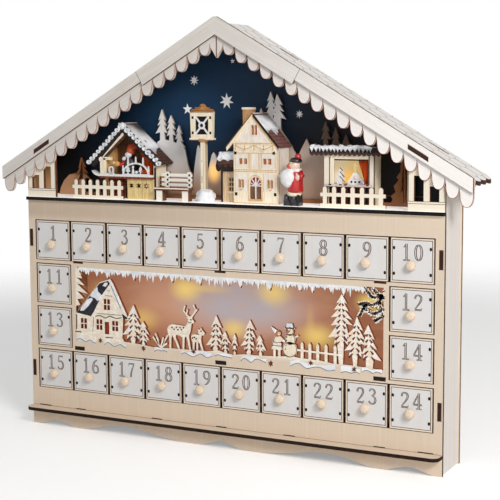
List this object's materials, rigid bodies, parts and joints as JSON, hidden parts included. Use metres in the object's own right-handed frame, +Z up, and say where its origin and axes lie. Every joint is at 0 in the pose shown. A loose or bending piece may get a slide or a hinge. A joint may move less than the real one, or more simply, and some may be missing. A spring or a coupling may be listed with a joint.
{
  "type": "advent calendar",
  "caption": "Gabled house-shaped wooden advent calendar with numbered sliding drawers, a lit fretwork winter scene and a small market on an open stage under the roof.",
  "frame": {"origin": "middle of the footprint, on the surface it stands on", "axes": "+Z up, the front with the drawers faces -Y, +X to the right seen from the front"},
  "size_m": [0.4418, 0.066, 0.3641],
  "materials": {
    "natural_ply": "matt bare plywood with burnt brown edges",
    "whitewashed_ply": "matt plywood under a thin white wash",
    "pale_figure_ply": "matt pale plywood",
    "brown_stained_ply": "matt brown stained plywood",
    "night_sky_paint": "matt dark blue paint",
    "dusk_sheet": "translucent sheet painted as dusk",
    "painted_figure": "satin paint on turned wood",
    "black_plastic": "matt black",
    "white_plastic": "satin white",
    "warm_lamps": "clear warm white lamps on a thin wire"
  },
  "bodies": {
    "case": {"front_panel": "natural_ply", "side_panel_left": "whitewashed_ply", "side_panel_right": "whitewashed_ply", "back_panel": "natural_ply", "stage_floor": "whitewashed_ply", "base_ledge": "natural_ply", "top_drawer_rack": "natural_ply", "lower_shelf": "natural_ply", "bottom_drawer_rack": "natural_ply", "drawer_rack_left": "natural_ply", "drawer_rack_right": "natural_ply", "scene_backdrop": "dusk_sheet", "roof_panel_left": "whitewashed_ply", "roof_panel_right": "whitewashed_ply", "barge_board_left": "whitewashed_ply", "barge_board_right": "whitewashed_ply", "ridge_cap": "whitewashed_ply", "scallop_trim_left": "whitewashed_ply", "scallop_trim_right": "whitewashed_ply", "window_frame_left": "pale_figure_ply", "window_frame_right": "pale_figure_ply", "sky_backdrop": "night_sky_paint", "firs_and_hills": "pale_figure_ply", "brown_firs": "brown_stained_ply", "market_stall_left": "pale_figure_ply", "market_stall_right": "pale_figure_ply", "village_house": "pale_figure_ply", "lamp_post": "pale_figure_ply", "park_bench": "pale_figure_ply", "picket_fence_left": "pale_figure_ply", "picket_fence_right": "pale_figure_ply", "santa_figure": "painted_figure", "battery_box": "black_plastic", "light_string": "warm_lamps"},
    "drawer_01": {"drawer_01": "whitewashed_ply"},
    "drawer_02": {"drawer_02": "whitewashed_ply"},
    "drawer_03": {"drawer_03": "whitewashed_ply"},
    "drawer_04": {"drawer_04": "whitewashed_ply"},
    "drawer_05": {"drawer_05": "whitewashed_ply"},
    "drawer_06": {"drawer_06": "whitewashed_ply"},
    "drawer_07": {"drawer_07": "whitewashed_ply"},
    "drawer_08": {"drawer_08": "whitewashed_ply"},
    "drawer_09": {"drawer_09": "whitewashed_ply"},
    "drawer_10": {"drawer_10": "whitewashed_ply"},
    "drawer_11": {"drawer_11": "whitewashed_ply"},
    "drawer_12": {"drawer_12": "whitewashed_ply"},
    "drawer_13": {"drawer_13": "whitewashed_ply"},
    "drawer_14": {"drawer_14": "whitewashed_ply"},
    "drawer_15": {"drawer_15": "whitewashed_ply"},
    "drawer_16": {"drawer_16": "whitewashed_ply"},
    "drawer_17": {"drawer_17": "whitewashed_ply"},
    "drawer_18": {"drawer_18": "whitewashed_ply"},
    "drawer_19": {"drawer_19": "whitewashed_ply"},
    "drawer_20": {"drawer_20": "whitewashed_ply"},
    "drawer_21": {"drawer_21": "whitewashed_ply"},
    "drawer_22": {"drawer_22": "whitewashed_ply"},
    "drawer_23": {"drawer_23": "whitewashed_ply"},
    "drawer_24": {"drawer_24": "whitewashed_ply"},
    "battery_lid": {"battery_lid": "black_plastic"},
    "power_switch": {"power_switch": "white_plastic"}
  },
  "joints": [
    {"name": "drawer_01_slide", "type": "slide", "parent": "case", "child": "drawer_01", "axis": [0, -1, 0], "range_m": [0, 0.036]},
    {"name": "drawer_02_slide", "type": "slide", "parent": "case", "child": "drawer_02", "axis": [0, -1, 0], "range_m": [0, 0.036]},
    {"name": "drawer_03_slide", "type": "slide", "parent": "case", "child": "drawer_03", "axis": [0, -1, 0], "range_m": [0, 0.036]},
    {"name": "drawer_04_slide", "type": "slide", "parent": "case", "child": "drawer_04", "axis": [0, -1, 0], "range_m": [0, 0.036]},
    {"name": "drawer_05_slide", "type": "slide", "parent": "case", "child": "drawer_05", "axis": [0, -1, 0], "range_m": [0, 0.036]},
    {"name": "drawer_06_slide", "type": "slide", "parent": "case", "child": "drawer_06", "axis": [0, -1, 0], "range_m": [0, 0.036]},
    {"name": "drawer_07_slide", "type": "slide", "parent": "case", "child": "drawer_07", "axis": [0, -1, 0], "range_m": [0, 0.036]},
    {"name": "drawer_08_slide", "type": "slide", "parent": "case", "child": "drawer_08", "axis": [0, -1, 0], "range_m": [0, 0.036]},
    {"name": "drawer_09_slide", "type": "slide", "parent": "case", "child": "drawer_09", "axis": [0, -1, 0], "range_m": [0, 0.036]},
    {"name": "drawer_10_slide", "type": "slide", "parent": "case", "child": "drawer_10", "axis": [0, -1, 0], "range_m": [0, 0.036]},
    {"name": "drawer_11_slide", "type": "slide", "parent": "case", "child": "drawer_11", "axis": [0, -1, 0], "range_m": [0, 0.036]},
    {"name": "drawer_12_slide", "type": "slide", "parent": "case", "child": "drawer_12", "axis": [0, -1, 0], "range_m": [0, 0.036]},
    {"name": "drawer_13_slide", "type": "slide", "parent": "case", "child": "drawer_13", "axis": [0, -1, 0], "range_m": [0, 0.036]},
    {"name": "drawer_14_slide", "type": "slide", "parent": "case", "child": "drawer_14", "axis": [0, -1, 0], "range_m": [0, 0.036]},
    {"name": "drawer_15_slide", "type": "slide", "parent": "case", "child": "drawer_15", "axis": [0, -1, 0], "range_m": [0, 0.036]},
    {"name": "drawer_16_slide", "type": "slide", "parent": "case", "child": "drawer_16", "axis": [0, -1, 0], "range_m": [0, 0.036]},
    {"name": "drawer_17_slide", "type": "slide", "parent": "case", "child": "drawer_17", "axis": [0, -1, 0], "range_m": [0, 0.036]},
    {"name": "drawer_18_slide", "type": "slide", "parent": "case", "child": "drawer_18", "axis": [0, -1, 0], "range_m": [0, 0.036]},
    {"name": "drawer_19_slide", "type": "slide", "parent": "case", "child": "drawer_19", "axis": [0, -1, 0], "range_m": [0, 0.036]},
    {"name": "drawer_20_slide", "type": "slide", "parent": "case", "child": "drawer_20", "axis": [0, -1, 0], "range_m": [0, 0.036]},
    {"name": "drawer_21_slide", "type": "slide", "parent": "case", "child": "drawer_21", "axis": [0, -1, 0], "range_m": [0, 0.036]},
    {"name": "drawer_22_slide", "type": "slide", "parent": "case", "child": "drawer_22", "axis": [0, -1, 0], "range_m": [0, 0.036]},
    {"name": "drawer_23_slide", "type": "slide", "parent": "case", "child": "drawer_23", "axis": [0, -1, 0], "range_m": [0, 0.036]},
    {"name": "drawer_24_slide", "type": "slide", "parent": "case", "child": "drawer_24", "axis": [0, -1, 0], "range_m": [0, 0.036]},
    {"name": "battery_lid_slide", "type": "slide", "parent": "case", "child": "battery_lid", "axis": [-1, 0, 0], "range_m": [0, 0.052]},
    {"name": "power_switch_slide", "type": "slide", "parent": "case", "child": "power_switch", "axis": [0, 1, 0], "range_m": [0, 0.003]}
  ]
}
